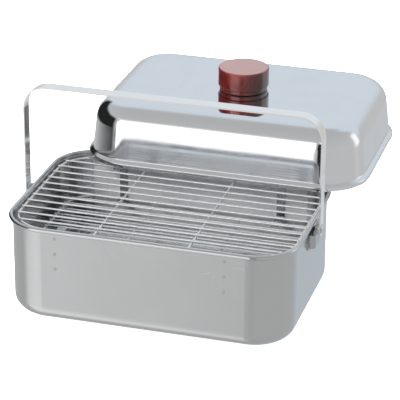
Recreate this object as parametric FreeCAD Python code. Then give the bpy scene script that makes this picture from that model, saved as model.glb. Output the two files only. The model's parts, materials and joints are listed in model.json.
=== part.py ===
import FreeCAD
import Part
import math
import os

# Box smoker for a hob or camp stove: a drawn steel pan with two wire grills, a carrying bail on
# riveted ears and a lift-off lid with a wooden knob. Millimetres. +X runs along the long side,
# +Y to the rear, +Z up, and the origin is the middle of the pan's underside. The bail stands
# upright, and the lid lies level across the rear rim, shifted back and to the right.

# ---------------------------------------------------------------- driving dimensions

# Pan
RIM_LENGTH = 340.0              # over the curled rim, along X
RIM_DEPTH = 240.0               # over the curled rim, along Y
PAN_HEIGHT = 116.7
RIM_CORNER_RADIUS = 52.0        # plan radius over the rim
RIM_CURL_RADIUS = 2.6
FLOOR_RADIUS = 17.2             # inside radius between floor and wall
PAN_SHEET = 0.8

# Brackets that carry the grills, spot-welded inside the two long walls
BRACKET_FROM_CORNER = 20.0      # middle of the strip to where the long wall starts to bend
BRACKET_WIDTH = 10.0
FRONT_BRACKET_SHIFT = -3.5      # each pair of strips sits this far off even: the front pair to the left
BACK_BRACKET_SHIFT = 2.3        # and the back pair to the right
BRACKET_SHEET = 1.2
BRACKET_BEND = 1.0
UPPER_TAB_BELOW_RIM = 9.9       # top face of the upper tab
LOWER_TAB_HEIGHT = 59.5         # top face of the lower tab above the pan's underside
UPPER_TAB_REACH = 26.0
LOWER_TAB_REACH = 30.0

# Spot-weld marks
WELD_RADIUS = 1.9
WELD_PROUD = 0.15
BRACKET_WELDS = 3               # in each strip
WELD_BELOW_TAB = 1.9            # from the upper tab's top face down to the first weld
WELD_ABOVE_FOOT = 9.5           # from the strip's lower end up to the last weld

# Handle ears and pivots on the two short walls
EAR_LENGTH = 47.0
EAR_HEIGHT = 16.0
EAR_BELOW_RIM = 16.7
EAR_CORNER = 6.0
EAR_SHEET = 1.2
EAR_BEND = 1.5
EAR_PAD_HALF = 11.0             # half width of the raised pad
EAR_WEB_RUN = 3.0               # width of the sloping web beside the pad
EAR_RIM_GAP = 1.0               # the pad's back face stands this far outside the rim
EAR_WELD_INSET = 4.8            # from the ear's end
EAR_WELD_EDGE = 5.0             # from its top and bottom edges
PIVOT_BELOW_RIM = 12.7
RIVET_RADIUS = 2.5
RIVET_HEAD_RADIUS = 5.5
RIVET_HEAD_HEIGHT = 2.4
RIVET_TAIL_RADIUS = 4.4
RIVET_TAIL_HEIGHT = 1.6
SPACER_RADIUS = 6.5
SPACER_THICKNESS = 2.2

# Carrying bail, one flat strap
BAIL_ABOVE_RIM = 123.3          # to the strap's top face
BAIL_STRAP_WIDTH = 16.0
BAIL_STRAP_THICKNESS = 1.8
BAIL_CORNER_RADIUS = 28.0
BAIL_SIDE_GAP = 0.2             # strap to spacer, and strap to rivet head
PIVOT_CLEARANCE = 0.05          # radial, strap hole over rivet

# Grills
GRILL_FRAME_WIRE = 1.7          # wire radius
GRILL_LONG_WIRE = 1.25
GRILL_CROSS_WIRE = 1.5
GRILL_WIRE_COUNT = 11
GRILL_EDGE_SPACE = 20.5         # frame wire to the nearest long wire, before any shift
GRILL_CROSS_SPACING = 110.0
UPPER_CROSS_SHIFT = -5.0        # the upper grill's cross wires sit off its middle
LOWER_CROSS_SHIFT = 3.0
UPPER_WIRE_SHIFT = -4.9         # and its long wires sit off it too, towards the front
GRILL_WELD_SINK = 0.4           # crossing wires are pressed into each other this far
GRILL_REST_GAP = 0.3            # wire to the tab it rests on
UPPER_GRILL_WALL_GAP = 1.2      # between frame wire and pan wall at the short sides
UPPER_GRILL_DEPTH_GAP = 6.3     # the same at the long sides, with the grill in the middle
UPPER_GRILL_SHIFT = 3.3         # the loose grill lies this far to the rear
LOWER_GRILL_WALL_GAP = 8.0
LOWER_GRILL_DEPTH_GAP = 8.0

# Drip tray on four feet
TRAY_END_GAP = 29.8             # to the pan's short walls
TRAY_TAB_GAP = 6.8              # to the lower tabs' ends
TRAY_CORNER_RADIUS = 24.0
TRAY_HEIGHT = 13.0
TRAY_SHEET = 0.7
TRAY_FLOOR_RADIUS = 5.0
TRAY_LIP = 4.0
TRAY_FOOT_HEIGHT = 22.0
TRAY_FOOT_WIDTH = 12.0
TRAY_FOOT_PAD = 9.0
TRAY_FOOT_INSET_X = 26.0
TRAY_FOOT_INSET_Y = 20.0
TRAY_FOOT_SHEET = 1.0
TRAY_REST_GAP = 0.1             # sole to the pan's floor

# Lid, drawn sheet with a ledge and a skirt that fits over the curled rim
LID_RIM_GAP = 1.2               # between rim and the inside of the skirt
LID_SHEET = 0.8
LID_CORE_TRIM = 4.0             # the lid's corner radius is larger than the rim's by this
SKIRT_HEIGHT = 4.3
LEDGE_WIDTH = 4.5
LEDGE_RISE = 3.3
LEDGE_RADIUS = 1.4
LID_HEIGHT = 69.3               # skirt edge to the flat of the top
LID_WALL_LEAN = 4.0             # the wall leans in by this much up to the shoulder
LID_SHOULDER_RADIUS = 27.0
LID_SHIFT_X = 31.5              # the lid lies this far to the right
LID_OVERLAP = 50.0              # its front edge lies this far inside the rear rim
LID_REST_GAP = 0.7              # skirt edge above the rear rim

# Knob and its fixing
KNOB_RADIUS = 30.7
KNOB_HEIGHT = 28.0
KNOB_FOOT_RADIUS = 29.0
KNOB_FOOT_HEIGHT = 6.0
KNOB_EDGE_RADIUS = 2.2
KNOB_STEP_RADIUS = 1.2
INSERT_RADIUS = 4.0
INSERT_LENGTH = 14.0
INSERT_HOLE_SPARE = 1.0
SCREW_RADIUS = 2.5
SCREW_HEAD_RADIUS = 4.6
SCREW_HEAD_HEIGHT = 3.0
SCREW_SLOT_WIDTH = 1.2
SCREW_SLOT_DEPTH = 1.3
SCREW_HOLE_CLEARANCE = 0.2
KNOB_WASHER_RADIUS = 8.0
KNOB_WASHER_THICKNESS = 1.0

# ---------------------------------------------------------------- sizes that follow

ALONG_X = FreeCAD.Vector(1, 0, 0)
ALONG_Z = FreeCAD.Vector(0, 0, 1)
ORIGIN = FreeCAD.Vector(0, 0, 0)

# A rounded rectangle is a core rectangle grown by its corner radius, so that every wall, curl
# and wire that follows it is one profile at its own distance outside the core.
CORE_X = RIM_LENGTH / 2 - RIM_CORNER_RADIUS
CORE_Y = RIM_DEPTH / 2 - RIM_CORNER_RADIUS
WALL_INSIDE = RIM_CORNER_RADIUS - 2 * RIM_CURL_RADIUS
WALL_OUTSIDE = WALL_INSIDE + PAN_SHEET
SHORT_WALL_FACE = CORE_X + WALL_OUTSIDE
LONG_WALL_FACE = CORE_Y + WALL_OUTSIDE
LONG_WALL_INSIDE = CORE_Y + WALL_INSIDE
BRACKET_OFFSET = CORE_X - BRACKET_FROM_CORNER
UPPER_TAB_HEIGHT = PAN_HEIGHT - UPPER_TAB_BELOW_RIM
BRACKET_FOOT = LOWER_TAB_HEIGHT - BRACKET_SHEET

EAR_TOP = PAN_HEIGHT - EAR_BELOW_RIM
EAR_BOTTOM = EAR_TOP - EAR_HEIGHT
PIVOT_HEIGHT = PAN_HEIGHT - PIVOT_BELOW_RIM
BAIL_HEIGHT = PAN_HEIGHT + BAIL_ABOVE_RIM
EAR_PAD_FACE = RIM_LENGTH / 2 + EAR_RIM_GAP + EAR_SHEET
BAIL_INSIDE = EAR_PAD_FACE + SPACER_THICKNESS + BAIL_SIDE_GAP
BAIL_OUTSIDE = BAIL_INSIDE + BAIL_STRAP_THICKNESS
RIVET_SEAT = BAIL_OUTSIDE + BAIL_SIDE_GAP

LID_HALF_X = RIM_LENGTH / 2 + LID_RIM_GAP + LID_SHEET
LID_HALF_Y = RIM_DEPTH / 2 + LID_RIM_GAP + LID_SHEET
LID_RADIUS = RIM_CORNER_RADIUS + LID_RIM_GAP + LID_SHEET + LID_CORE_TRIM
LID_CORE_X = LID_HALF_X - LID_RADIUS
LID_CORE_Y = LID_HALF_Y - LID_RADIUS
LID_SHIFT_Y = RIM_DEPTH / 2 + LID_HALF_Y - LID_OVERLAP
LID_PLACE = FreeCAD.Vector(LID_SHIFT_X, LID_SHIFT_Y, PAN_HEIGHT + LID_REST_GAP)

TRAY_LENGTH = 2 * (CORE_X + WALL_INSIDE - TRAY_END_GAP)
TRAY_DEPTH = 2 * (LONG_WALL_INSIDE - LOWER_TAB_REACH - TRAY_TAB_GAP)

parts = {}


# ---------------------------------------------------------------- shape helpers


def unit(start, end):
    """Unit direction between two (u, v) points."""
    length = math.hypot(end[0] - start[0], end[1] - start[1])
    return ((end[0] - start[0]) / length, (end[1] - start[1]) / length)


def place(point):
    """A (u, v) point in the XZ plane."""
    return FreeCAD.Vector(point[0], 0, point[1])


def rounded_path(points, radii):
    """Edges along a chain of (u, v) points, with an arc of the given radius at each bend."""
    edges = []
    last = points[0]
    for index in range(1, len(points) - 1):
        corner = points[index]
        way_in = unit(points[index - 1], corner)
        way_out = unit(corner, points[index + 1])
        radius = radii[index - 1]
        turn = math.acos(way_in[0] * way_out[0] + way_in[1] * way_out[1])
        reach = radius * math.tan(turn / 2)
        start = (corner[0] - way_in[0] * reach, corner[1] - way_in[1] * reach)
        end = (corner[0] + way_out[0] * reach, corner[1] + way_out[1] * reach)
        inward = unit(way_in, way_out)
        bulge = radius / math.cos(turn / 2) - radius
        middle = (corner[0] + inward[0] * bulge, corner[1] + inward[1] * bulge)
        if math.hypot(start[0] - last[0], start[1] - last[1]) > 1e-6:
            edges.append(Part.LineSegment(place(last), place(start)).toShape())
        edges.append(Part.Arc(place(start), place(middle), place(end)).toShape())
        last = end
    if math.hypot(points[-1][0] - last[0], points[-1][1] - last[1]) > 1e-6:
        edges.append(Part.LineSegment(place(last), place(points[-1])).toShape())
    return edges


def sheet_section(points, radii, thickness):
    """Cross-section of bent sheet: the path is one face, and the sheet lies to its right."""
    ways = [unit(points[i], points[i + 1]) for i in range(len(points) - 1)]
    normals = [(way[1], -way[0]) for way in ways]
    back = [(points[0][0] + normals[0][0] * thickness, points[0][1] + normals[0][1] * thickness)]
    back_radii = []
    for index in range(1, len(points) - 1):
        before, after = normals[index - 1], normals[index]
        scale = thickness / (1 + before[0] * after[0] + before[1] * after[1])
        back.append((points[index][0] + (before[0] + after[0]) * scale,
                     points[index][1] + (before[1] + after[1]) * scale))
        way_in, way_out = ways[index - 1], ways[index]
        left_turn = way_in[0] * way_out[1] - way_in[1] * way_out[0] > 0
        back_radii.append(radii[index - 1] + (thickness if left_turn else -thickness))
    back.append((points[-1][0] + normals[-1][0] * thickness,
                 points[-1][1] + normals[-1][1] * thickness))
    edges = rounded_path(points, radii) + rounded_path(back, back_radii)
    edges.append(Part.LineSegment(place(points[0]), place(back[0])).toShape())
    edges.append(Part.LineSegment(place(points[-1]), place(back[-1])).toShape())
    return Part.Face(Part.Wire(Part.__sortEdges__(edges)))


def around(section, core_x, core_y):
    """Sweep a section round a rounded rectangle: its u is the distance outside the core."""
    pieces = []
    for quarter in range(4):
        reach, half = (core_x, core_y) if quarter % 2 == 0 else (core_y, core_x)
        side = section.translated(FreeCAD.Vector(reach, -half, 0))
        side = side.extrude(FreeCAD.Vector(0, 2 * half, 0))
        pivot = FreeCAD.Vector(reach, half, 0)
        corner = section.translated(pivot).revolve(pivot, ALONG_Z, 90)
        for piece in (side, corner):
            pieces.append(piece.rotated(ORIGIN, ALONG_Z, 90 * quarter))
    return pieces


def joined(pieces):
    """One solid from pieces that share faces."""
    return pieces[0].multiFuse(pieces[1:]).removeSplitter()


def plate(core_x, core_y, base, thickness):
    """Flat sheet over the core rectangle."""
    corner = FreeCAD.Vector(-core_x, -core_y, base)
    return Part.makeBox(2 * core_x, 2 * core_y, thickness, corner)


def rod(radius, start, end):
    """Round bar between two points."""
    return Part.makeCylinder(radius, (end - start).Length, start, end - start)


def turned(points):
    """Solid of revolution about Z from (radius, height) points or arcs given as three points."""
    edges = []
    for piece in points:
        if len(piece) == 2:
            edges.append(Part.LineSegment(place(piece[0]), place(piece[1])).toShape())
        else:
            edges.append(Part.Arc(place(piece[0]), place(piece[1]), place(piece[2])).toShape())
    return Part.Face(Part.Wire(edges)).revolve(ORIGIN, ALONG_Z, 360)


def mirrored_pair(name, shape):
    """The right-hand piece and its mirror image on the left."""
    parts["right_" + name] = shape
    parts["left_" + name] = shape.mirror(ORIGIN, ALONG_X)


# ---------------------------------------------------------------- pan, brackets and welds


def make_pan():
    """Drawn pan: flat floor, upright walls and a rim curled outwards and under."""
    curl = RIM_CURL_RADIUS
    path = [
        (0.0, PAN_SHEET),
        (WALL_INSIDE, PAN_SHEET),
        (WALL_INSIDE, PAN_HEIGHT),
        (RIM_CORNER_RADIUS, PAN_HEIGHT),
        (RIM_CORNER_RADIUS, PAN_HEIGHT - 2 * curl),
        (WALL_INSIDE + curl, PAN_HEIGHT - 2 * curl),
    ]
    section = sheet_section(path, [FLOOR_RADIUS, curl, curl, curl], PAN_SHEET)
    floor = plate(CORE_X, CORE_Y, 0, PAN_SHEET)
    parts["body_pan"] = joined(around(section, CORE_X, CORE_Y) + [floor])


def make_brackets():
    """Four strips bent inwards at both ends, with a tab for each grill."""
    path = [
        (LOWER_TAB_REACH, BRACKET_FOOT),
        (0.0, BRACKET_FOOT),
        (0.0, UPPER_TAB_HEIGHT),
        (UPPER_TAB_REACH, UPPER_TAB_HEIGHT),
    ]
    bend = BRACKET_BEND + BRACKET_SHEET
    section = sheet_section(path, [bend, bend], BRACKET_SHEET)
    strip = section.extrude(FreeCAD.Vector(0, BRACKET_WIDTH, 0))
    strip = strip.translated(FreeCAD.Vector(-LONG_WALL_INSIDE, -BRACKET_WIDTH / 2, 0))
    first_weld = UPPER_TAB_HEIGHT - WELD_BELOW_TAB
    pitch = (first_weld - BRACKET_FOOT - WELD_ABOVE_FOOT) / (BRACKET_WELDS - 1)
    marks = []
    for side, turn, shift in (("front", 90, FRONT_BRACKET_SHIFT), ("back", -90, BACK_BRACKET_SHIFT)):
        for hand, sign in (("left", -1), ("right", 1)):
            middle = FreeCAD.Vector(sign * BRACKET_OFFSET + shift, 0, 0)
            bracket = strip.rotated(ORIGIN, ALONG_Z, turn).translated(middle)
            parts[side + "_" + hand + "_bracket"] = bracket
            outward = FreeCAD.Vector(0, -1 if side == "front" else 1, 0)
            for index in range(BRACKET_WELDS):
                spot = middle + outward * LONG_WALL_FACE + ALONG_Z * (first_weld - index * pitch)
                marks.append(Part.makeCylinder(WELD_RADIUS, WELD_PROUD, spot, outward))
    parts["bracket_spot_welds"] = Part.Compound(marks)


# ---------------------------------------------------------------- ears, rivets and bail


def ear_outline():
    """Side view of an ear: a low rectangle with rounded corners and a tongue for the pivot."""
    reach = BAIL_OUTSIDE
    low = FreeCAD.Vector(0, -EAR_LENGTH / 2, EAR_BOTTOM)
    base = Part.makeBox(reach, EAR_LENGTH, EAR_TOP - EAR_BOTTOM, low)
    base = base.makeFillet(EAR_CORNER, [e for e in base.Edges if len(e.Vertexes) == 2
                                        and abs(e.tangentAt(e.FirstParameter).x) > 0.9])
    tongue = Part.makeBox(reach, 2 * EAR_PAD_HALF, PIVOT_HEIGHT - EAR_BOTTOM,
                          FreeCAD.Vector(0, -EAR_PAD_HALF, EAR_BOTTOM))
    tip = Part.makeCylinder(EAR_PAD_HALF, reach, FreeCAD.Vector(0, 0, PIVOT_HEIGHT), ALONG_X)
    return base.multiFuse([tongue, tip]).removeSplitter()


def make_ears():
    """Pressed ears with a raised pad, their weld marks, and the pivot rivets and spacers."""
    flange = SHORT_WALL_FACE + EAR_SHEET
    pad_end = EAR_PAD_HALF + EAR_WEB_RUN
    path = [
        (flange, EAR_LENGTH / 2),
        (flange, pad_end),
        (EAR_PAD_FACE, EAR_PAD_HALF),
        (EAR_PAD_FACE, -EAR_PAD_HALF),
        (flange, -pad_end),
        (flange, -EAR_LENGTH / 2),
    ]
    outer = EAR_BEND + EAR_SHEET
    section = sheet_section(path, [EAR_BEND, outer, outer, EAR_BEND], EAR_SHEET)
    section = section.rotated(ORIGIN, ALONG_X, -90)
    blank = section.extrude(ALONG_Z * (PIVOT_HEIGHT + EAR_LENGTH))
    pivot = FreeCAD.Vector(0, 0, PIVOT_HEIGHT)
    ear = blank.common(ear_outline())
    ear = ear.cut(rod(RIVET_RADIUS, pivot, pivot + ALONG_X * BAIL_OUTSIDE))
    mirrored_pair("ear", ear)

    tail = pivot + ALONG_X * (EAR_PAD_FACE - EAR_SHEET)
    shank = rod(RIVET_RADIUS, tail, pivot + ALONG_X * (RIVET_SEAT + RIVET_HEAD_HEIGHT / 2))
    tail_head = Part.makeCylinder(RIVET_TAIL_RADIUS, RIVET_TAIL_HEIGHT, tail, ALONG_X * -1)
    seat = pivot + ALONG_X * RIVET_SEAT
    ball_radius = (RIVET_HEAD_RADIUS ** 2 + RIVET_HEAD_HEIGHT ** 2) / (2 * RIVET_HEAD_HEIGHT)
    ball = Part.makeSphere(ball_radius, seat + ALONG_X * (RIVET_HEAD_HEIGHT - ball_radius))
    head = ball.common(Part.makeCylinder(RIVET_HEAD_RADIUS, RIVET_HEAD_HEIGHT, seat, ALONG_X))
    mirrored_pair("rivet", shank.multiFuse([tail_head, head]).removeSplitter())

    face = pivot + ALONG_X * EAR_PAD_FACE
    disc = Part.makeCylinder(SPACER_RADIUS, SPACER_THICKNESS, face, ALONG_X)
    mirrored_pair("spacer", disc.cut(Part.makeCylinder(RIVET_RADIUS, SPACER_THICKNESS, face, ALONG_X)))

    marks = []
    for sign in (-1, 1):
        for y in (-1, 1):
            for z in (EAR_BOTTOM + EAR_WELD_EDGE, EAR_TOP - EAR_WELD_EDGE):
                spot = FreeCAD.Vector(sign * flange, y * (EAR_LENGTH / 2 - EAR_WELD_INSET), z)
                marks.append(Part.makeCylinder(WELD_RADIUS, WELD_PROUD, spot, ALONG_X * sign))
    parts["ear_spot_welds"] = Part.Compound(marks)


def make_bail():
    """Flat strap over the pan, with rounded ends that turn on the rivets."""
    half_width = BAIL_STRAP_WIDTH / 2
    foot = PIVOT_HEIGHT - half_width
    path = [
        (-BAIL_OUTSIDE, foot),
        (-BAIL_OUTSIDE, BAIL_HEIGHT),
        (BAIL_OUTSIDE, BAIL_HEIGHT),
        (BAIL_OUTSIDE, foot),
    ]
    section = sheet_section(path, [BAIL_CORNER_RADIUS, BAIL_CORNER_RADIUS], BAIL_STRAP_THICKNESS)
    strap = section.extrude(FreeCAD.Vector(0, BAIL_STRAP_WIDTH, 0))
    strap = strap.translated(FreeCAD.Vector(0, -half_width, 0))
    left_end = FreeCAD.Vector(-BAIL_OUTSIDE - 1, 0, PIVOT_HEIGHT)
    right_end = FreeCAD.Vector(BAIL_OUTSIDE + 1, 0, PIVOT_HEIGHT)
    upper = Part.makeBox(2 * BAIL_OUTSIDE + 2, BAIL_STRAP_WIDTH, BAIL_HEIGHT - PIVOT_HEIGHT,
                         left_end - FreeCAD.Vector(0, half_width, 0))
    outline = upper.fuse(rod(half_width, left_end, right_end))
    hole = rod(RIVET_RADIUS + PIVOT_CLEARANCE, left_end, right_end)
    parts["bail"] = strap.common(outline).cut(hole)


# ---------------------------------------------------------------- grills


def make_grill(name, rest_height, wall_gap, depth_gap, shift, wire_shift, cross_shift):
    """Edge frame with long wires laid over it and two cross wires in the frame's own plane."""
    frame_radius = GRILL_FRAME_WIRE
    half_x = CORE_X + WALL_INSIDE - wall_gap - frame_radius
    half_y = CORE_Y + WALL_INSIDE - depth_gap - frame_radius
    bend = WALL_INSIDE - wall_gap - frame_radius
    core_x = half_x - bend
    core_y = half_y - bend
    height = rest_height + GRILL_REST_GAP + frame_radius
    circle = Part.Circle(FreeCAD.Vector(bend, 0, height), FreeCAD.Vector(0, 1, 0), frame_radius)
    section = Part.Face(Part.Wire(circle.toShape()))
    frame = joined(around(section, core_x, core_y))

    cross = []
    for sign in (-1, 1):
        x = sign * GRILL_CROSS_SPACING / 2 + cross_shift
        start = FreeCAD.Vector(x, -half_y, height)
        end = FreeCAD.Vector(x, half_y, height)
        cross.append(rod(GRILL_CROSS_WIRE, start, end).cut(frame))

    wires = []
    top = height + frame_radius + GRILL_LONG_WIRE - GRILL_WELD_SINK
    pitch = 2 * (half_y - GRILL_EDGE_SPACE) / (GRILL_WIRE_COUNT - 1)
    for index in range(GRILL_WIRE_COUNT):
        y = GRILL_EDGE_SPACE - half_y + index * pitch + wire_shift
        past_core = max(0.0, abs(y) - core_y)
        reach = core_x + math.sqrt(bend ** 2 - past_core ** 2) + frame_radius / 2
        wire = rod(GRILL_LONG_WIRE, FreeCAD.Vector(-reach, y, top), FreeCAD.Vector(reach, y, top))
        wires.append(wire.cut([frame] + cross))
    back = FreeCAD.Vector(0, shift, 0)
    parts[name + "_grill_frame"] = frame.translated(back)
    parts[name + "_grill_cross_wires"] = Part.Compound(cross).translated(back)
    parts[name + "_grill_long_wires"] = Part.Compound(wires).translated(back)


# ---------------------------------------------------------------- drip tray


def make_tray():
    """Shallow tray with a flat lip, on four feet that stand on the pan's floor."""
    floor = PAN_SHEET + TRAY_FOOT_HEIGHT
    core_x = TRAY_LENGTH / 2 - TRAY_CORNER_RADIUS
    core_y = TRAY_DEPTH / 2 - TRAY_CORNER_RADIUS
    wall = TRAY_CORNER_RADIUS - TRAY_LIP
    path = [
        (0.0, floor + TRAY_SHEET),
        (wall, floor + TRAY_SHEET),
        (wall, floor + TRAY_HEIGHT),
        (TRAY_CORNER_RADIUS, floor + TRAY_HEIGHT),
    ]
    section = sheet_section(path, [TRAY_FLOOR_RADIUS, 2 * TRAY_SHEET], TRAY_SHEET)
    base = plate(core_x, core_y, floor, TRAY_SHEET)
    parts["drip_tray"] = joined(around(section, core_x, core_y) + [base])

    sole = PAN_SHEET + TRAY_REST_GAP + TRAY_FOOT_SHEET
    foot_path = [
        (0.0, floor),
        (TRAY_FOOT_PAD, floor),
        (TRAY_FOOT_PAD, sole),
        (2 * TRAY_FOOT_PAD, sole),
    ]
    bends = [2 * TRAY_FOOT_SHEET, TRAY_FOOT_SHEET]
    foot_section = sheet_section(foot_path, bends, TRAY_FOOT_SHEET)
    foot = foot_section.extrude(FreeCAD.Vector(0, TRAY_FOOT_WIDTH, 0))
    x = TRAY_LENGTH / 2 - TRAY_FOOT_INSET_X - 2 * TRAY_FOOT_PAD
    y = TRAY_DEPTH / 2 - TRAY_FOOT_INSET_Y - TRAY_FOOT_WIDTH
    front = foot.translated(FreeCAD.Vector(x, y, 0))
    feet = [front]
    feet.append(front.mirror(ORIGIN, ALONG_X))
    feet.append(front.mirror(ORIGIN, FreeCAD.Vector(0, 1, 0)))
    feet.append(front.rotated(ORIGIN, ALONG_Z, 180))
    parts["drip_tray_feet"] = Part.Compound(feet)


# ---------------------------------------------------------------- lid and knob


def make_lid():
    """Drawn lid: flat top, broad shoulder, leaning wall, ledge and skirt."""
    ledge_top = SKIRT_HEIGHT + LEDGE_RISE
    wall_foot = LID_RADIUS - LEDGE_WIDTH
    lean = LID_WALL_LEAN / (LID_HEIGHT - LID_SHOULDER_RADIUS - ledge_top)
    # The flat top and the leaning wall, drawn on, meet at this distance outside the core.
    meeting = wall_foot - lean * (LID_HEIGHT - ledge_top)
    path = [
        (0.0, LID_HEIGHT),
        (meeting, LID_HEIGHT),
        (wall_foot, ledge_top),
        (LID_RADIUS, SKIRT_HEIGHT),
        (LID_RADIUS, 0.0),
    ]
    radii = [LID_SHOULDER_RADIUS, LEDGE_RADIUS, LEDGE_RADIUS]
    section = sheet_section(path, radii, LID_SHEET)
    top = plate(LID_CORE_X, LID_CORE_Y, LID_HEIGHT - LID_SHEET, LID_SHEET)
    shell = joined(around(section, LID_CORE_X, LID_CORE_Y) + [top])
    hole = Part.makeCylinder(SCREW_RADIUS + SCREW_HOLE_CLEARANCE, LID_HEIGHT, ORIGIN, ALONG_Z)
    parts["lid_shell"] = shell.cut(hole).translated(LID_PLACE)


def rounded_corner(radius, corner, du, dv):
    """Three points of a quarter arc at a corner, entered along du and left along dv."""
    start = (corner[0] - du[0] * radius, corner[1] - du[1] * radius)
    end = (corner[0] + dv[0] * radius, corner[1] + dv[1] * radius)
    cut = radius * (1 - math.sqrt(0.5))
    middle = (corner[0] - (du[0] - dv[0]) * cut, corner[1] - (du[1] - dv[1]) * cut)
    return start, middle, end


def make_knob():
    """Turned wooden knob with a narrower foot, its threaded insert, screw and washer."""
    edge = KNOB_EDGE_RADIUS
    step = KNOB_STEP_RADIUS
    right, up, left = (1, 0), (0, 1), (-1, 0)
    foot_low = rounded_corner(edge, (KNOB_FOOT_RADIUS, 0), right, up)
    foot_high = (KNOB_FOOT_RADIUS, KNOB_FOOT_HEIGHT)
    body_low = rounded_corner(step, (KNOB_RADIUS, KNOB_FOOT_HEIGHT), right, up)
    body_high = rounded_corner(edge, (KNOB_RADIUS, KNOB_HEIGHT), up, left)
    wood = turned([
        ((0, 0), foot_low[0]),
        foot_low,
        (foot_low[2], foot_high),
        (foot_high, body_low[0]),
        body_low,
        (body_low[2], body_high[0]),
        body_high,
        (body_high[2], (0, KNOB_HEIGHT)),
        ((0, KNOB_HEIGHT), (0, 0)),
    ])
    hole = Part.makeCylinder(INSERT_RADIUS, INSERT_LENGTH + INSERT_HOLE_SPARE)
    seat = LID_PLACE + ALONG_Z * LID_HEIGHT
    parts["knob"] = wood.cut(hole).translated(seat)

    insert = Part.makeCylinder(INSERT_RADIUS, INSERT_LENGTH)
    insert = insert.cut(Part.makeCylinder(SCREW_RADIUS, INSERT_LENGTH))
    parts["knob_insert"] = insert.translated(seat)

    under = -LID_SHEET - KNOB_WASHER_THICKNESS
    washer = Part.makeCylinder(KNOB_WASHER_RADIUS, KNOB_WASHER_THICKNESS, FreeCAD.Vector(0, 0, under))
    bore = Part.makeCylinder(SCREW_RADIUS, KNOB_WASHER_THICKNESS, FreeCAD.Vector(0, 0, under))
    parts["knob_washer"] = washer.cut(bore).translated(seat)

    base = under - SCREW_HEAD_HEIGHT
    head_corner = rounded_corner(SCREW_HEAD_HEIGHT / 2, (SCREW_HEAD_RADIUS, base), right, up)
    screw = turned([
        ((0, base), head_corner[0]),
        head_corner,
        (head_corner[2], (SCREW_HEAD_RADIUS, under)),
        ((SCREW_HEAD_RADIUS, under), (SCREW_RADIUS, under)),
        ((SCREW_RADIUS, under), (SCREW_RADIUS, INSERT_LENGTH)),
        ((SCREW_RADIUS, INSERT_LENGTH), (0, INSERT_LENGTH)),
        ((0, INSERT_LENGTH), (0, base)),
    ])
    slot = Part.makeBox(2 * SCREW_HEAD_RADIUS, SCREW_SLOT_WIDTH, SCREW_SLOT_DEPTH,
                        FreeCAD.Vector(-SCREW_HEAD_RADIUS, -SCREW_SLOT_WIDTH / 2, base))
    parts["knob_screw"] = screw.cut(slot).translated(seat)


# ---------------------------------------------------------------- build and export

make_pan()
make_brackets()
make_ears()
make_bail()
make_grill("upper", UPPER_TAB_HEIGHT, UPPER_GRILL_WALL_GAP, UPPER_GRILL_DEPTH_GAP,
           UPPER_GRILL_SHIFT, UPPER_WIRE_SHIFT, UPPER_CROSS_SHIFT)
make_grill("lower", LOWER_TAB_HEIGHT, LOWER_GRILL_WALL_GAP, LOWER_GRILL_DEPTH_GAP,
           0.0, 0.0, LOWER_CROSS_SHIFT)
make_tray()
make_lid()
make_knob()

os.makedirs("parts", exist_ok=True)
for node, shape in parts.items():
    shape.exportStep("parts/" + node + ".step")
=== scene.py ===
"""Box smoker: finishes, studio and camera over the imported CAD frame. Metres, +Z up."""

import json
import math

import bpy
from mathutils import Matrix, Vector


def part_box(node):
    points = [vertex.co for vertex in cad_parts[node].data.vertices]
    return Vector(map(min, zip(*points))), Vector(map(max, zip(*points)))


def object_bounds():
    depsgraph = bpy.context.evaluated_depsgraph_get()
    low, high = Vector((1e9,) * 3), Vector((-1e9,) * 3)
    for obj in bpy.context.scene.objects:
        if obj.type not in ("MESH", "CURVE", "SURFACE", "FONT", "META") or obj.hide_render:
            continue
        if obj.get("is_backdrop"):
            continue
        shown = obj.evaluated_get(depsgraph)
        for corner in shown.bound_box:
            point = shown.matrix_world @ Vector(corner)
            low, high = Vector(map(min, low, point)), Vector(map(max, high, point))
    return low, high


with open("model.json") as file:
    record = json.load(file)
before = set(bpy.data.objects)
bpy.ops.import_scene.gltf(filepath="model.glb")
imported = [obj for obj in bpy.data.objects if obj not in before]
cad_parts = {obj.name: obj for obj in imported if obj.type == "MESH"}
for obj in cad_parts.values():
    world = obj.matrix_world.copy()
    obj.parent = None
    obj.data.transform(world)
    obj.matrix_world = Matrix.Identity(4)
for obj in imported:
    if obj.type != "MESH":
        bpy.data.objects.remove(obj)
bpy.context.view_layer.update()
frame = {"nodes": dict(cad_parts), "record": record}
NODES = frame["nodes"]
SCENE = bpy.context.scene
RIM_BEAD = 0.0055               # height of the curled rim


# ---------------------------------------------------------------- material helpers
# Places of the colour sockets on a Mix node.
MIX_FACTOR, MIX_A, MIX_B, MIX_RESULT = 0, 6, 7, 2


def shade(colour, share):
    """The colour made lighter or darker, with no channel above 1."""
    return tuple(min(1.0, c * share) for c in colour)


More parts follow.
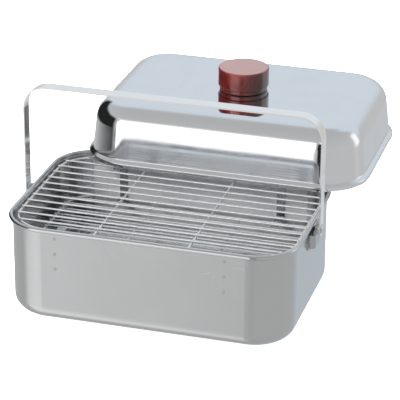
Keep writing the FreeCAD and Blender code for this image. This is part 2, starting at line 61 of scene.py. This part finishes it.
class Maker:
    """A small wrapper that adds and links shader nodes."""

    def __init__(self, name):
        self.mat = bpy.data.materials.new(name)
        self.mat.use_nodes = True
        self.tree = self.mat.node_tree
        self.shader = self.tree.nodes["Principled BSDF"]

    def node(self, kind, **inputs):
        n = self.tree.nodes.new("ShaderNode" + kind)
        for key, value in inputs.items():
            self.put(n, key.replace("_", " "), value)
        return n

    def put(self, n, key, value):
        socket = n.inputs[key]
        if isinstance(value, bpy.types.NodeSocket):
            self.tree.links.new(value, socket)
        else:
            socket.default_value = value

    def coordinates(self, scale, turn=(0.0, 0.0, 0.0)):
        """The piece's own coordinates, scaled and turned."""
        place = self.node("TexCoord")
        spread = self.node("Mapping")
        spread.inputs["Scale"].default_value = scale
        spread.inputs["Rotation"].default_value = turn
        self.tree.links.new(place.outputs["Object"], spread.inputs["Vector"])
        return spread.outputs["Vector"]

    def noise(self, scale, detail=3.0, roughness=0.55, stretch=(1.0, 1.0, 1.0), distortion=0.0):
        n = self.node("TexNoise", Scale=scale, Detail=detail, Roughness=roughness, Distortion=distortion)
        self.put(n, "Vector", self.coordinates(stretch))
        return n.outputs["Fac"]

    def ramp(self, fac, stops):
        """fac through stops of (place, colour or grey value)."""
        n = self.node("ValToRGB")
        self.put(n, "Fac", fac)
        band = n.color_ramp
        while len(band.elements) < len(stops):
            band.elements.new(0.5)
        for element, (at, colour) in zip(band.elements, stops):
            element.position = at
            rgb = colour if isinstance(colour, tuple) else (colour, colour, colour)
            element.color = (*rgb, 1.0)
        return n.outputs["Color"]

    def span(self, fac, low, high):
        """fac from 0..1 to low..high."""
        n = self.node("MapRange")
        self.put(n, "Value", fac)
        n.inputs["To Min"].default_value = low
        n.inputs["To Max"].default_value = high
        return n.outputs["Result"]

    def math(self, operation, a, b):
        n = self.node("Math")
        n.operation = operation
        self.put_at(n, 0, a)
        self.put_at(n, 1, b)
        return n.outputs["Value"]

    def put_at(self, n, index, value):
        if isinstance(value, bpy.types.NodeSocket):
            self.tree.links.new(value, n.inputs[index])
        else:
            n.inputs[index].default_value = value

    def mix(self, fac, a, b):
        """a where fac is 0, b where it is 1."""
        n = self.node("Mix")
        n.data_type = "RGBA"
        for index, value in ((MIX_FACTOR, fac), (MIX_A, a), (MIX_B, b)):
            if isinstance(value, tuple):
                value = (*value, 1.0)
            self.put_at(n, index, value)
        return n.outputs[MIX_RESULT]

    def bump(self, height, distance, strength=1.0, after=None):
        """A normal for the given relief depth, laid over the normal in after."""
        n = self.node("Bump")
        n.inputs["Strength"].default_value = strength
        n.inputs["Distance"].default_value = distance
        self.put(n, "Height", height)
        if after is not None:
            self.put(n, "Normal", after)
        return n.outputs["Normal"]

    def set(self, **values):
        for key, value in values.items():
            if isinstance(value, tuple):
                value = (*value, 1.0)
            self.put(self.shader, key.replace("_", " "), value)


def scratches(m, scale, width, turn):
    """Thin scattered lines: 1 on a scratch and 0 elsewhere."""
    wave = m.node("TexVoronoi", Scale=scale)
    wave.feature = "DISTANCE_TO_EDGE"
    m.put(wave, "Vector", m.coordinates((1.0, 0.14, 0.35), turn))
    line = m.ramp(wave.outputs["Distance"], ((0.0, 1.0), (width, 0.0)))
    patch = m.ramp(m.noise(34.0, 2.0), ((0.52, 0.0), (0.66, 1.0)))
    return m.math("MULTIPLY", line, patch)


INNER_WALL_FADE = ((0.72, 0.0), (0.92, 1.0))    # where a face counts as one of the pan's inner long walls
LIT_WALL_PALER = 1.18                             # painted light there: a paler, rougher, less metallic copy of the sheet so these walls look lit; tone, roughness and metal
LIT_WALL_ROUGHER = 0.10
LIT_WALL_METAL = 0.60


def long_walls_inside(m):
    """1 on the inner faces of a vessel's two long walls, below its rim, and 0 elsewhere."""
    place = m.node("TexCoord")
    at = m.node("SeparateXYZ", Vector=place.outputs["Object"])
    facing = m.node("SeparateXYZ", Vector=place.outputs["Normal"])
    half_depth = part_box("body_pan")[1][1]
    rim_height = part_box("body_pan")[1][2]
    outward = m.math("MULTIPLY", at.outputs["Y"], facing.outputs["Y"])
    walls = m.ramp(m.math("MULTIPLY", outward, -1.0 / half_depth), INNER_WALL_FADE)
    below_rim = m.math("LESS_THAN", at.outputs["Z"], rim_height - RIM_BEAD)
    return m.math("MULTIPLY", walls, below_rim)


SHEET_TINT = 0.03               # how far the cloudy marks stray from the sheet's tone
SHEET_GRAIN_DEPTH = 0.0000006
SHEET_WAVE_DEPTH = 0.00030      # broad unevenness of thin sheet
SHEET_WAVE_STRENGTH = 0.25


def rolled_steel(name, colour, rough, grain=(6.0, 6.0, 1500.0), dull=0.05, stretch_gloss=0.0,
                 lit_inner_walls=False):
    """Stainless sheet with a rolled grain, faint cloudy marks, fine scratches and darker, rougher smudges."""
    m = Maker(name)
    cloud = m.noise(16.0, 4.0)
    fine = m.noise(1.0, 3.0, 0.6, stretch=grain)
    mark = scratches(m, 55.0, 0.006, (0.3, 0.1, 0.5))
    base = m.mix(cloud, shade(colour, 1.0 - SHEET_TINT), shade(colour, 1.0 + SHEET_TINT))
    base = m.mix(m.span(fine, 0.0, 0.10), base, shade(colour, 0.80))
    base = m.mix(m.math("MULTIPLY", mark, 0.5), base, shade(colour, 1.25))
    gloss = m.math("ADD", m.span(cloud, rough - dull, rough + dull), m.span(fine, -0.015, 0.015))
    gloss = m.math("ADD", gloss, m.math("MULTIPLY", mark, 0.10))
    normal = m.bump(fine, SHEET_GRAIN_DEPTH)
    normal = m.bump(m.noise(11.0, 1.5), SHEET_WAVE_DEPTH, SHEET_WAVE_STRENGTH, normal)
    metal = 1.0
    # Painted light: the inner long walls get a paler, rougher, partly non-metal copy of the sheet so they
    # look lit; the end walls and corners keep the plain sheet.
    if lit_inner_walls:
        inside = long_walls_inside(m)
        base = m.mix(inside, base, shade(colour, LIT_WALL_PALER))
        gloss = m.math("ADD", gloss, m.math("MULTIPLY", inside, LIT_WALL_ROUGHER))
        metal = m.span(inside, 1.0, LIT_WALL_METAL)
    m.set(Base_Color=base, Metallic=metal, Roughness=gloss, Normal=normal)
    if stretch_gloss:
        m.shader.inputs["Anisotropic"].default_value = stretch_gloss
        m.shader.inputs["Anisotropic Rotation"].default_value = 0.25
        tangent = m.node("Tangent")
        tangent.direction_type = "RADIAL"
        tangent.axis = "Z"
        m.put(m.shader, "Tangent", tangent.outputs["Tangent"])
    return m.mat


def mirror_steel(name, colour, rough):
    """Mirror-polished stainless: faint swirls, a soft smear here and there and hairline scratches."""
    m = Maker(name)
    smear = m.ramp(m.noise(13.0, 4.0, 0.6, distortion=0.8), ((0.46, 0.0), (0.72, 1.0)))
    swirl = m.noise(1.0, 3.0, 0.6, stretch=(240.0, 30.0, 240.0))
    hair = scratches(m, 70.0, 0.004, (0.2, 0.5, 0.9))
    base = m.mix(m.span(smear, 0.0, 0.35), colour, shade(colour, 0.90))
    base = m.mix(m.math("MULTIPLY", hair, 0.35), base, shade(colour, 0.80))
    gloss = m.math("ADD", m.span(smear, rough, rough + 0.05), m.span(swirl, -0.008, 0.012))
    gloss = m.math("ADD", gloss, m.math("MULTIPLY", hair, 0.08))
    normal = m.bump(swirl, 0.0000012)
    normal = m.bump(m.noise(9.0, 1.5), 0.00022, 0.6, normal)
    m.set(Base_Color=base, Metallic=1.0, Roughness=gloss, Normal=normal)
    return m.mat


WORN_PLATING = (0.66, 0.63, 0.59)


def bright_wire(name, colour):
    """Bright-plated wire: a little uneven under the plating, with a few dull spots."""
    m = Maker(name)
    uneven = m.noise(420.0, 3.0)
    patch = m.ramp(m.noise(55.0, 3.0), ((0.50, 0.0), (0.75, 1.0)))
    base = m.mix(m.span(patch, 0.0, 0.40), colour, shade(colour, 0.84))
    base = m.mix(m.span(uneven, 0.0, 0.12), base, WORN_PLATING)
    gloss = m.math("ADD", m.span(patch, 0.13, 0.27), m.span(uneven, -0.03, 0.03))
    m.set(Base_Color=base, Metallic=1.0, Roughness=gloss, Normal=m.bump(uneven, 0.00003))
    return m.mat


WOOD_DARK = (0.045, 0.0026, 0.0024)
WOOD_MID = (0.090, 0.0060, 0.0048)
WOOD_LIGHT = (0.165, 0.0190, 0.0120)
WOOD_PORE = (0.010, 0.002, 0.002)
LIT_TOP_DARK = (0.125, 0.058, 0.050)
LIT_TOP_LIGHT = (0.165, 0.084, 0.074)


def lacquered_wood(name):
    """Turned wood stained dark red-brown under a thick gloss lacquer. The grain runs across the knob."""
    m = Maker(name)
    drift = m.noise(24.0, 3.0)
    rings = m.node("TexWave", Scale=1.0, Distortion=5.0, Detail=4.0, Detail_Scale=1.6, Detail_Roughness=0.62)
    rings.wave_type = "BANDS"
    rings.bands_direction = "Y"
    m.put(rings, "Vector", m.coordinates((14.0, 150.0, 120.0), (0.25, 0.1, 0.35)))
    pores = m.noise(1.0, 2.0, 0.5, stretch=(70.0, 1500.0, 1500.0))
    base = m.mix(rings.outputs["Fac"], WOOD_DARK, WOOD_MID)
    base = m.mix(m.ramp(drift, ((0.45, 0.0), (0.70, 1.0))), base, WOOD_LIGHT)
    base = m.mix(m.ramp(pores, ((0.62, 0.0), (0.74, 0.75))), base, WOOD_PORE)
    # Painted light: the flat top is painted paler than the side, as if lit from above.
    upward = m.node("SeparateXYZ")
    m.put(upward, "Vector", m.node("TexCoord").outputs["Normal"])
    lit_top = m.ramp(upward.outputs["Z"], ((0.90, 0.0), (0.995, 1.0)))
    lit_top = m.math("MULTIPLY", lit_top, m.span(drift, 0.80, 1.0))
    base = m.mix(lit_top, base, m.mix(rings.outputs["Fac"], LIT_TOP_DARK, LIT_TOP_LIGHT))
    grain = m.bump(pores, 0.00003)
    coat = m.bump(m.noise(90.0, 2.0), 0.000012)
    m.set(Base_Color=base, Roughness=m.span(drift, 0.28, 0.40), Normal=grain, Coat_Normal=coat)
    m.shader.inputs["Coat Weight"].default_value = 1.0
    m.shader.inputs["Coat Roughness"].default_value = 0.07
    m.shader.inputs["Coat IOR"].default_value = 1.48
    return m.mat


WELD_BLUE = (0.36, 0.37, 0.41)
WELD_GREY = (0.52, 0.49, 0.46)
WELD_STRAW = (0.62, 0.56, 0.47)


def heat_tinted(name):
    """A spot-weld mark: pale blue-grey and straw heat colours over dull metal."""
    m = Maker(name)
    uneven = m.noise(900.0, 3.0)
    base = m.ramp(uneven, ((0.30, WELD_BLUE), (0.52, WELD_GREY), (0.72, WELD_STRAW)))
    gloss = m.span(uneven, 0.30, 0.52)
    m.set(Base_Color=base, Metallic=1.0, Roughness=gloss, Normal=m.bump(uneven, 0.00005))
    return m.mat


BRASS_DULL = (0.62, 0.45, 0.19)
BRASS_BRIGHT = (0.80, 0.63, 0.32)


def machined_brass(name):
    """Turned brass with fine tool rings and a slightly tarnished tone."""
    m = Maker(name)
    rings = m.noise(1.0, 2.0, 0.5, stretch=(60.0, 60.0, 2600.0))
    tarnish = m.noise(140.0, 3.0)
    base = m.mix(tarnish, BRASS_DULL, BRASS_BRIGHT)
    gloss = m.span(tarnish, 0.22, 0.38)
    m.set(Base_Color=base, Metallic=1.0, Roughness=gloss, Normal=m.bump(rings, 0.00001))
    return m.mat


PAN_STEEL = (0.60, 0.605, 0.61)
LID_STEEL = (0.80, 0.81, 0.83)
BAIL_STEEL = (0.97, 0.945, 0.92)
BRACKET_STEEL = (0.50, 0.505, 0.51)
RIVET_STEEL = (0.70, 0.70, 0.71)
TRAY_STEEL = (0.66, 0.67, 0.67)
WIRE_CHROME = (0.96, 0.96, 0.965)

FINISHES = {
    "pan_steel": rolled_steel("pan_steel_satin", PAN_STEEL, 0.19, dull=0.02, stretch_gloss=0.65,
                              lit_inner_walls=True),
    "lid_steel": mirror_steel("lid_steel_mirror", LID_STEEL, 0.055),
    "bail_steel": rolled_steel("bail_steel_polished", BAIL_STEEL, 0.12, grain=(30.0, 900.0, 30.0), dull=0.03),
    "bracket_steel": rolled_steel("bracket_steel_mill", BRACKET_STEEL, 0.24, grain=(900.0, 900.0, 20.0)),
    "wire_chrome": bright_wire("wire_chrome_bright", WIRE_CHROME),
    "weld_steel": heat_tinted("weld_steel_tinted"),
    "rivet_steel": rolled_steel("rivet_steel_bright", RIVET_STEEL, 0.20, grain=(900.0, 900.0, 900.0)),
    "tray_steel": rolled_steel("tray_steel_satin", TRAY_STEEL, 0.13, grain=(6.0, 900.0, 900.0), dull=0.02),
    "knob_wood": lacquered_wood("knob_wood_lacquer"),
    "insert_brass": machined_brass("insert_brass_turned"),
}

for part in frame["record"]["subparts"]:
    for filled in NODES[part["node"]].material_slots:
        filled.material = FINISHES[part["material_slot"]]


# ---------------------------------------------------------------- studio
STAGE_ROUGHNESS = 0.9
FLOOR_WHITE = (0.93, 0.93, 0.93)
FLOOR_SIDE = 16.0
FLOOR_BELOW = 0.0004            # under the pan's sole
BACKDROP_RADIUS = 7.5
BACKDROP_HEIGHT = 9.0
BACKDROP_FOOT = -0.01
BACKDROP_SIDES = 48
HORIZON = 90.0                  # degrees from straight down or straight up to level


def stage_material(name, colour, glow_colour):
    """A matt surface that gives off light of its own."""
    mat = bpy.data.materials.new(name)
    mat.use_nodes = True
    shader = mat.node_tree.nodes["Principled BSDF"]
    shader.inputs["Base Color"].default_value = (*colour, 1.0)
    shader.inputs["Roughness"].default_value = STAGE_ROUGHNESS
    shader.inputs["Specular IOR Level"].default_value = 0.0
    shader.inputs["Emission Color"].default_value = (*glow_colour, 1.0)
    shader.inputs["Emission Strength"].default_value = 1.0
    return mat


def floor_sheet(name, side, height, mat):
    """A square floor that the metal doesn't mirror."""
    mesh = bpy.data.meshes.new(name)
    half = side / 2.0
    mesh.from_pydata([(-half, -half, 0.0), (half, -half, 0.0), (half, half, 0.0), (-half, half, 0.0)],
                     [], [(0, 1, 2, 3)])
    mesh.materials.append(mat)
    board = bpy.data.objects.new(name, mesh)
    SCENE.collection.objects.link(board)
    board.matrix_world = Matrix.Translation((0.0, 0.0, height))
    board.visible_glossy = False
    board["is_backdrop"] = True


def backdrop_drum(name, mat):
    """An upright drum round the studio that only the camera sees."""
    mesh = bpy.data.meshes.new(name)
    turns = [2.0 * math.pi * step / BACKDROP_SIDES for step in range(BACKDROP_SIDES)]
    corners = [(BACKDROP_RADIUS * math.cos(a), BACKDROP_RADIUS * math.sin(a)) for a in turns]
    points = [(x, y, z) for z in (BACKDROP_FOOT, BACKDROP_HEIGHT) for x, y in corners]
    faces = []
    for here in range(BACKDROP_SIDES):
        beside = (here + 1) % BACKDROP_SIDES
        faces.append((here, beside, beside + BACKDROP_SIDES, here + BACKDROP_SIDES))
    mesh.from_pydata(points, [], faces)
    mesh.materials.append(mat)
    backdrop = bpy.data.objects.new(name, mesh)
    SCENE.collection.objects.link(backdrop)
    for kind in ("visible_diffuse", "visible_glossy", "visible_transmission", "visible_shadow"):
        setattr(backdrop, kind, False)
    backdrop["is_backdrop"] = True


def softbox(name, centre, aim, width, height, power, colour):
    """A rectangular lamp aimed at a point. The metal doesn't mirror it."""
    data = bpy.data.lights.new(name, "AREA")
    data.shape = "RECTANGLE"
    data.size = width
    data.size_y = height
    data.energy = power
    data.color = colour
    lamp = bpy.data.objects.new(name, data)
    SCENE.collection.objects.link(lamp)
    turn = (Vector(aim) - Vector(centre)).to_track_quat("-Z", "Y")
    lamp.matrix_world = Matrix.Translation(Vector(centre)) @ turn.to_matrix().to_4x4()
    lamp.visible_glossy = False


class Room:
    """The studio seen in the metal: soft rectangles placed by compass angle and height angle, in degrees.
    Angle 0 is the front (-Y) and +90 is the right (+X)."""

    def __init__(self, name):
        self.world = bpy.data.worlds.new(name)
        self.world.use_nodes = True
        self.tree = self.world.node_tree
        place = self.tree.nodes.new("ShaderNodeTexCoord")
        split = self.tree.nodes.new("ShaderNodeSeparateXYZ")
        self.tree.links.new(place.outputs["Generated"], split.inputs["Vector"])
        ahead = self.math("MULTIPLY", split.outputs["Y"], -1.0)
        self.compass = self.math("DEGREES", self.math("ARCTAN2", split.outputs["X"], ahead))
        self.height = self.math("DEGREES", self.math("ARCSINE", split.outputs["Z"]))
        self.colour = None

    def math(self, operation, a, b=None, c=None):
        n = self.tree.nodes.new("ShaderNodeMath")
        n.operation = operation
        for socket, value in zip(n.inputs, (a, b, c)):
            if isinstance(value, bpy.types.NodeSocket):
                self.tree.links.new(value, socket)
            elif value is not None:
                socket.default_value = value
        return n.outputs["Value"]

    def step(self, value, start, end):
        """0 at start, 1 at end, smooth between them."""
        n = self.tree.nodes.new("ShaderNodeMapRange")
        n.interpolation_type = "SMOOTHSTEP"
        flip = start > end
        self.tree.links.new(value, n.inputs["Value"])
        n.inputs["From Min"].default_value = min(start, end)
        n.inputs["From Max"].default_value = max(start, end)
        n.inputs["To Min"].default_value = 1.0 if flip else 0.0
        n.inputs["To Max"].default_value = 0.0 if flip else 1.0
        return n.outputs["Result"]

    def shell(self, stops):
        """The colours from straight down to straight up: (height angle, colour)."""
        share = self.tree.nodes.new("ShaderNodeMapRange")
        share.inputs["From Min"].default_value = -HORIZON
        share.inputs["From Max"].default_value = HORIZON
        band = self.tree.nodes.new("ShaderNodeValToRGB")
        while len(band.color_ramp.elements) < len(stops):
            band.color_ramp.elements.new(0.5)
        for element, (at, colour) in zip(band.color_ramp.elements, stops):
            element.position = (at + HORIZON) / (2.0 * HORIZON)
            element.color = (*colour, 1.0)
        self.tree.links.new(self.height, share.inputs["Value"])
        self.tree.links.new(share.outputs["Result"], band.inputs["Fac"])
        self.colour = band.outputs["Color"]

    def panel(self, centre, half, low, high, colour, soft):
        """A rectangle of the given colour laid over what is there, with soft edges."""
        turned = self.math("SUBTRACT", self.compass, centre)
        away = self.math("ABSOLUTE", self.math("WRAP", turned, 2.0 * HORIZON, -2.0 * HORIZON))
        mask = self.step(away, half + soft, half - soft)
        mask = self.math("MULTIPLY", mask, self.step(self.height, low - soft, low + soft))
        mask = self.math("MULTIPLY", mask, self.step(self.height, high + soft, high - soft))
        n = self.tree.nodes.new("ShaderNodeMix")
        n.data_type = "RGBA"
        self.tree.links.new(mask, n.inputs[MIX_FACTOR])
        self.tree.links.new(self.colour, n.inputs[MIX_A])
        n.inputs[MIX_B].default_value = (*colour, 1.0)
        self.colour = n.outputs[MIX_RESULT]

    def light(self, strength):
        """Makes this room the scene's world. Only what is mirrored or seen shows it."""
        sky = self.tree.nodes["Background"]
        self.tree.links.new(self.colour, sky.inputs["Color"])
        sky.inputs["Strength"].default_value = strength
        SCENE.world = self.world
        self.world.cycles_visibility.diffuse = False


NEUTRAL = (1.0, 1.0, 1.0)
COOL = (0.85, 0.93, 1.0)

# What stands round the object: compass angle, half width, lowest and highest height angle, tone,
# brightness and width of the soft edge. A flag is a nearly black card.
CARDS_AND_FLAGS = (
    (-45.0, 25.0, -70.0, -20.0, NEUTRAL, 1.10, 12.0),   # low card, front left
    (170.0, 25.0, -70.0, -20.0, COOL, 0.70, 5.0),       # low card, rear right
    (180.0, 50.0, 10.0, 60.0, COOL, 0.85, 10.0),        # high card, rear
    (-95.0, 45.0, -15.0, 30.0, NEUTRAL, 0.02, 5.0),     # flag, left
    (-25.0, 20.0, -15.0, 35.0, NEUTRAL, 1.40, 2.0),     # large softbox, front left
    (5.0, 5.0, -15.0, 30.0, NEUTRAL, 0.02, 2.0),        # flag beside that softbox
    (120.0, 10.0, -10.0, 30.0, NEUTRAL, 1.20, 8.0),     # tall card, right
)
room = Room("studio_world")
room.shell(((-HORIZON, (0.55, 0.55, 0.55)), (0.0, (0.60, 0.60, 0.60)), (HORIZON, (0.50, 0.50, 0.50))))
for centre, half, low, high, tone, brightness, soft in CARDS_AND_FLAGS:
    room.panel(centre, half, low, high, tuple(brightness * c for c in tone), soft)
room.light(1.0)

WHITE = stage_material("studio_white", FLOOR_WHITE, FLOOR_WHITE)
PAPER = stage_material("backdrop_paper", (0.0, 0.0, 0.0), NEUTRAL)
floor_sheet("studio_floor", FLOOR_SIDE, -FLOOR_BELOW, WHITE)
backdrop_drum("backdrop", PAPER)

softbox("overhead_softbox", (0.3, 0.1, 2.1), (0.0, 0.05, 0.0), 1.6, 1.6, 10.0, NEUTRAL)
softbox("key_softbox", (-1.0, -1.35, 1.45), (0.0, 0.10, 0.05), 0.8, 0.8, 100.0, NEUTRAL)
softbox("rear_softbox", (0.2, 1.6, 1.35), (0.0, -0.05, 0.05), 1.2, 0.8, 130.0, (0.84, 0.93, 1.0))


# ---------------------------------------------------------------- camera
CAMERA_AZIMUTH = math.radians(16.15)
CAMERA_ELEVATION = math.radians(24.12)
CAMERA_ROLL = math.radians(0.42)
CAMERA_AIM = Vector((0.0249, 0.0294, 0.1073))
CAMERA_DISTANCE = 2.434
CAMERA_LENS = 189.4              # millimetres, as is the sensor
CAMERA_SENSOR = 36.0
CAMERA_SIGHT = 60.0              # it sees this far

back = Vector((
    math.sin(CAMERA_AZIMUTH) * math.cos(CAMERA_ELEVATION),
    -math.cos(CAMERA_AZIMUTH) * math.cos(CAMERA_ELEVATION),
    math.sin(CAMERA_ELEVATION),
))
right = (-back).cross(Vector((0.0, 0.0, 1.0))).normalized()
up = right.cross(-back)
turned_right = math.cos(CAMERA_ROLL) * right + math.sin(CAMERA_ROLL) * up
turned_up = -math.sin(CAMERA_ROLL) * right + math.cos(CAMERA_ROLL) * up
lens = bpy.data.cameras.new("camera")
lens.sensor_width = CAMERA_SENSOR
lens.lens = CAMERA_LENS
lens.clip_end = CAMERA_SIGHT
camera = bpy.data.objects.new("camera", lens)
SCENE.collection.objects.link(camera)
turn = Matrix((turned_right, turned_up, back)).transposed()
camera.matrix_world = Matrix.Translation(CAMERA_AIM + CAMERA_DISTANCE * back) @ turn.to_4x4()
SCENE.camera = camera
SCENE.view_settings.view_transform = "Standard"

low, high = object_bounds()
